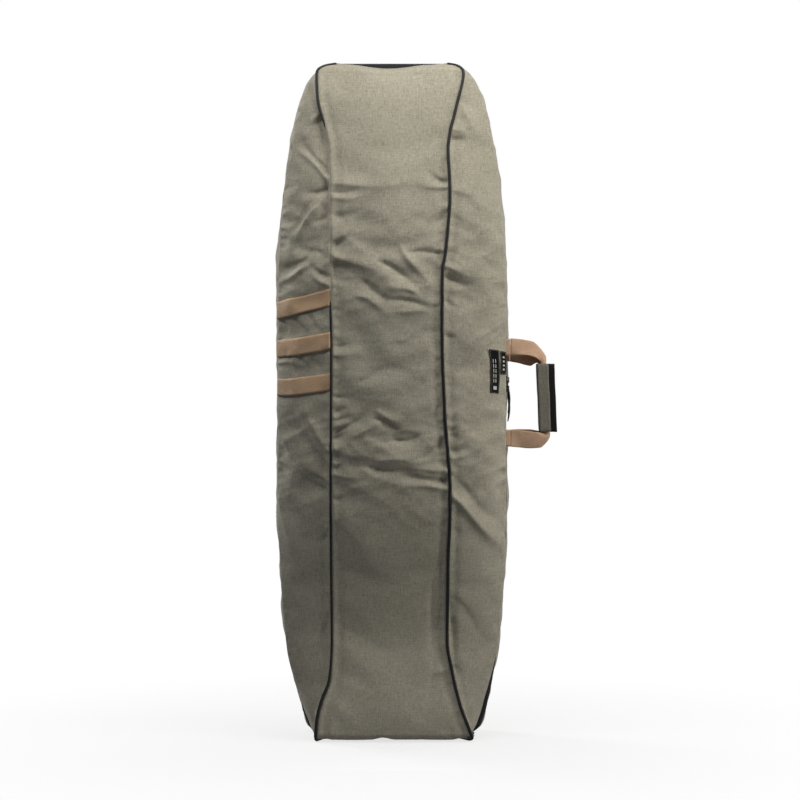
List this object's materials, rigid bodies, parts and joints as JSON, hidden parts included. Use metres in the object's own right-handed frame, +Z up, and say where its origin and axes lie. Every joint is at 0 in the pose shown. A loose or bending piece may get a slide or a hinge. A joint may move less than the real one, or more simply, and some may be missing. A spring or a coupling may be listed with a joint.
{
  "type": "snowboard bag",
  "caption": "Padded upright bag for a snowboard with a zipped lid, piped seams, side webbing strips and paired webbing handles joined by a hand wrap.",
  "frame": {"origin": "on the floor, in the middle of the bag's width, on the flat bottom of the gusset behind the zip", "axes": "+X towards the carry handles, +Y towards the back panel, +Z up along the bag's length"},
  "size_m": [0.6285, 0.2361, 1.52],
  "materials": {
    "outer_fabric": "heather polyester, matt, fine weave",
    "foam": "closed-cell foam padding, matt",
    "lining": "smooth woven lining",
    "piping": "bound cord piping, satin",
    "hinge_fabric": "heather polyester, matt",
    "zip_tape": "woven zip tape",
    "zip_coil": "nylon coil, satin",
    "side_webbing": "ribbed webbing",
    "webbing": "ribbed webbing",
    "rear_webbing": "ribbed webbing",
    "wrap_lining": "black hook-and-loop backing",
    "label": "woven label",
    "slider": "black enamelled die casting",
    "puller": "moulded cord puller"
  },
  "bodies": {
    "base": {"back_skin": "outer_fabric", "back_foam": "foam", "back_lining": "lining", "back_piping": "piping", "gusset_top_skin": "outer_fabric", "gusset_bottom_skin": "outer_fabric", "gusset_left_skin": "outer_fabric", "gusset_right_skin": "outer_fabric", "gusset_top_foam": "foam", "gusset_bottom_foam": "foam", "gusset_left_foam": "foam", "gusset_right_foam": "foam", "gusset_lining": "lining", "rear_zip_tape": "zip_tape", "rear_zip_coil": "zip_coil", "rear_hinge_band": "hinge_fabric", "zip_end_tabs": "zip_tape", "rear_strap_anchors": "rear_webbing"},
    "lid": {"front_skin": "outer_fabric", "front_foam": "foam", "front_lining": "lining", "left_skin": "outer_fabric", "left_foam": "foam", "left_lining": "lining", "right_skin": "outer_fabric", "right_foam": "foam", "right_lining": "lining", "left_piping": "piping", "right_piping": "piping", "front_zip_tape": "zip_tape", "front_zip_coil": "zip_coil", "front_hinge_band": "hinge_fabric", "upper_side_strip": "side_webbing", "middle_side_strip": "side_webbing", "lower_side_strip": "side_webbing", "long_label": "label", "short_label": "label", "front_strap_anchors": "webbing"},
    "front_handle": {"front_strap": "webbing"},
    "rear_handle": {"rear_strap": "rear_webbing", "wrap_back_cover": "outer_fabric", "wrap_back_lining": "wrap_lining"},
    "wrap_flap": {"wrap_front_cover": "outer_fabric", "wrap_front_lining": "wrap_lining"},
    "upper_slider_body": {"upper_slider": "slider"},
    "lower_slider_body": {"lower_slider": "slider"},
    "upper_puller_body": {"upper_puller": "puller"},
    "lower_puller_body": {"lower_puller": "puller"}
  },
  "joints": [
    {"name": "lid_hinge", "type": "hinge", "parent": "base", "child": "lid", "pos_m": [-0.2565, -0.024, 0.76], "axis": [0, 0, -1], "range_deg": [0, 110]},
    {"name": "front_handle_swing", "type": "hinge", "parent": "lid", "child": "front_handle", "pos_m": [0.2676, -0.0366, 0.77], "axis": [0, 0, -1], "range_deg": [0, 85]},
    {"name": "rear_handle_swing", "type": "hinge", "parent": "base", "child": "rear_handle", "pos_m": [0.2676, -0.0114, 0.77], "axis": [0, 0, 1], "range_deg": [0, 85]},
    {"name": "wrap_flap_opening", "type": "hinge", "parent": "front_handle", "child": "wrap_flap", "pos_m": [0.32558, -0.03301, 0.77], "axis": [0, 0, -1], "range_deg": [0, 150]},
    {"name": "upper_slider_travel", "type": "slide", "parent": "base", "child": "upper_slider_body", "axis": [0, 0, 1], "range_m": [0, 0.13]},
    {"name": "lower_slider_travel", "type": "slide", "parent": "base", "child": "lower_slider_body", "axis": [0, 0, -1], "range_m": [0, 0.25]},
    {"name": "upper_puller_swing", "type": "hinge", "parent": "upper_slider_body", "child": "upper_puller_body", "pos_m": [0.2611, -0.024, 0.806], "axis": [0, -1, 0], "range_deg": [0, 48]},
    {"name": "lower_puller_swing", "type": "hinge", "parent": "lower_slider_body", "child": "lower_puller_body", "pos_m": [0.2611, -0.024, 0.787], "axis": [0, -1, 0], "range_deg": [0, 48]}
  ]
}
